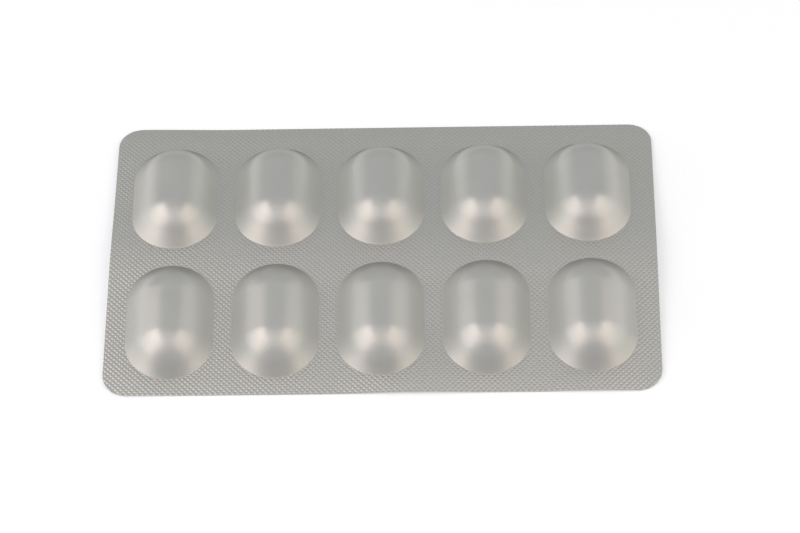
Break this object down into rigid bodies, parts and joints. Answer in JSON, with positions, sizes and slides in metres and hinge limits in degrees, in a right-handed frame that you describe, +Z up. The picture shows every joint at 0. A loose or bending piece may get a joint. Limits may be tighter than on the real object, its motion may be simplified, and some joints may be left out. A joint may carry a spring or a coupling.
{
  "type": "pill blister pack",
  "caption": "Sealed cold-formed aluminium blister pack: long domed tablet pockets in rows on a thin, knurled, slightly bowed foil web with rounded corners.",
  "frame": {"origin": "centre of the pack's outline, on the plane that its two long lower edges rest on", "axes": "+X along the long side, +Y across it, +Z up, the side on which the pockets stand"},
  "size_m": [0.131, 0.0806, 0.0091],
  "materials": {
    "forming_foil": "satin cold-formed foil laminate, smooth on the domes, cross-hatch knurl on the sealed web",
    "lidding_foil": "hard matt lidding foil, knurled where it is sealed, smooth over the pockets"
  },
  "bodies": {
    "root": {"blister_pack": "forming_foil"}
  },
  "joints": []
}
